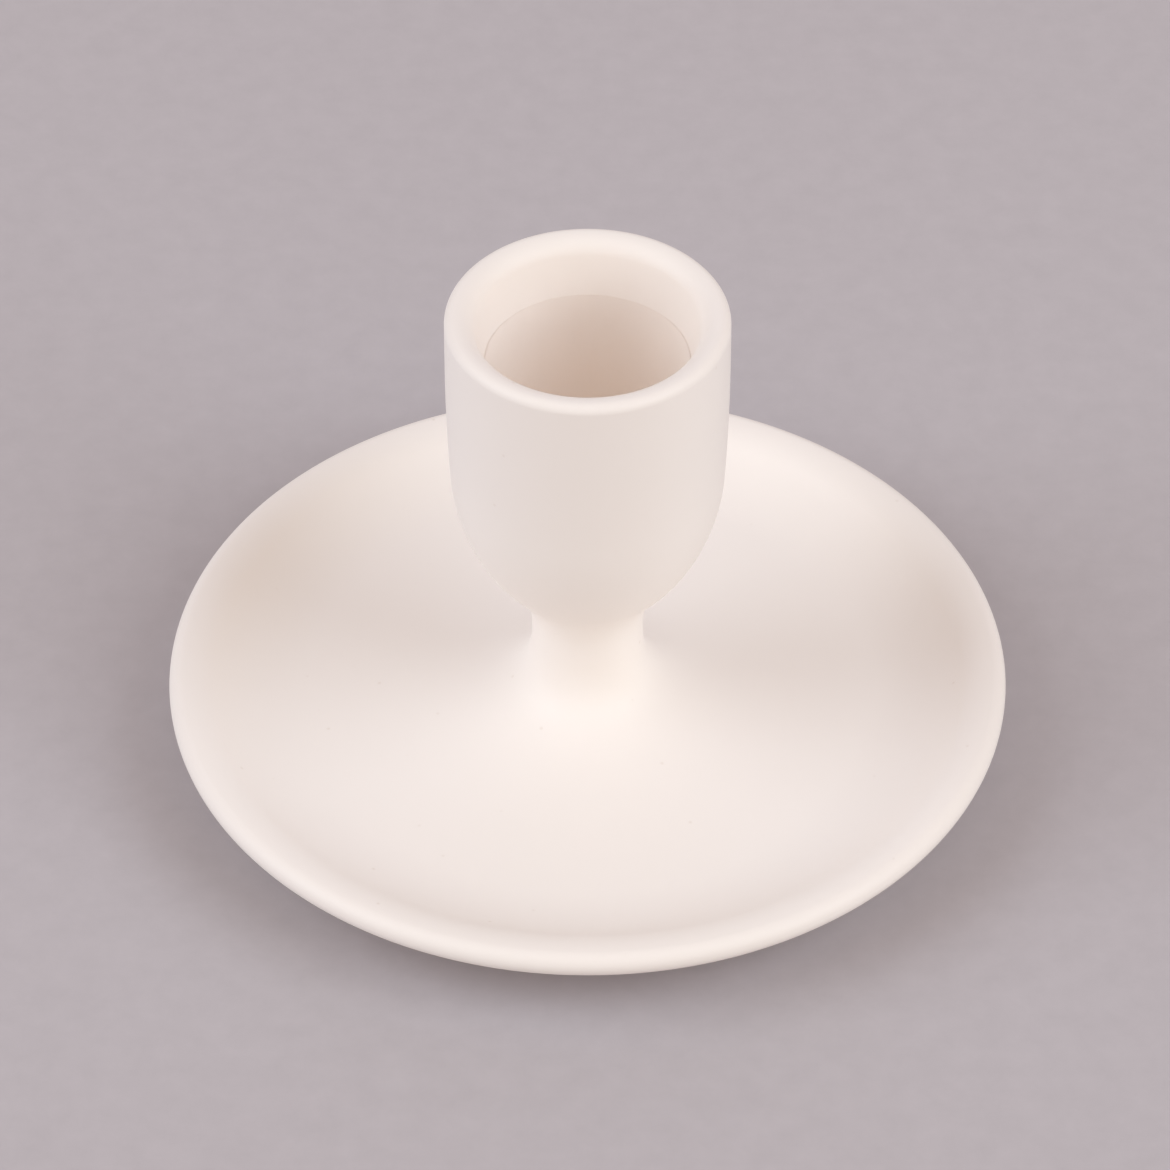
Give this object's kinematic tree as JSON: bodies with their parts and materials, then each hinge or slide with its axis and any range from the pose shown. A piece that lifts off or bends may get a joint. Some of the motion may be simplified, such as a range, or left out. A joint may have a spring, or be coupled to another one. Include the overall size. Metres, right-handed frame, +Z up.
{
  "type": "taper candle holder",
  "caption": "Low glazed porcelain holder for a taper candle: round drip dish with a rounded lip, flared waisted stem and a thick-walled cup with a straight well.",
  "frame": {"origin": "on the table under the middle of the foot ring", "axes": "+Z up along the axis of the candle; the shape is round, so +X and +Y are free, and the picture looks along +Y"},
  "size_m": [0.1, 0.1, 0.0642],
  "materials": {
    "glazed_porcelain": "warm white satin glaze, foot ring wiped bare",
    "fired_slip": "matt fired slip, glazed over where it shows"
  },
  "bodies": {
    "root": {"drip_dish": "glazed_porcelain", "lower_slip_joint": "fired_slip", "stem": "glazed_porcelain", "upper_slip_joint": "fired_slip", "candle_cup": "glazed_porcelain"}
  },
  "joints": []
}
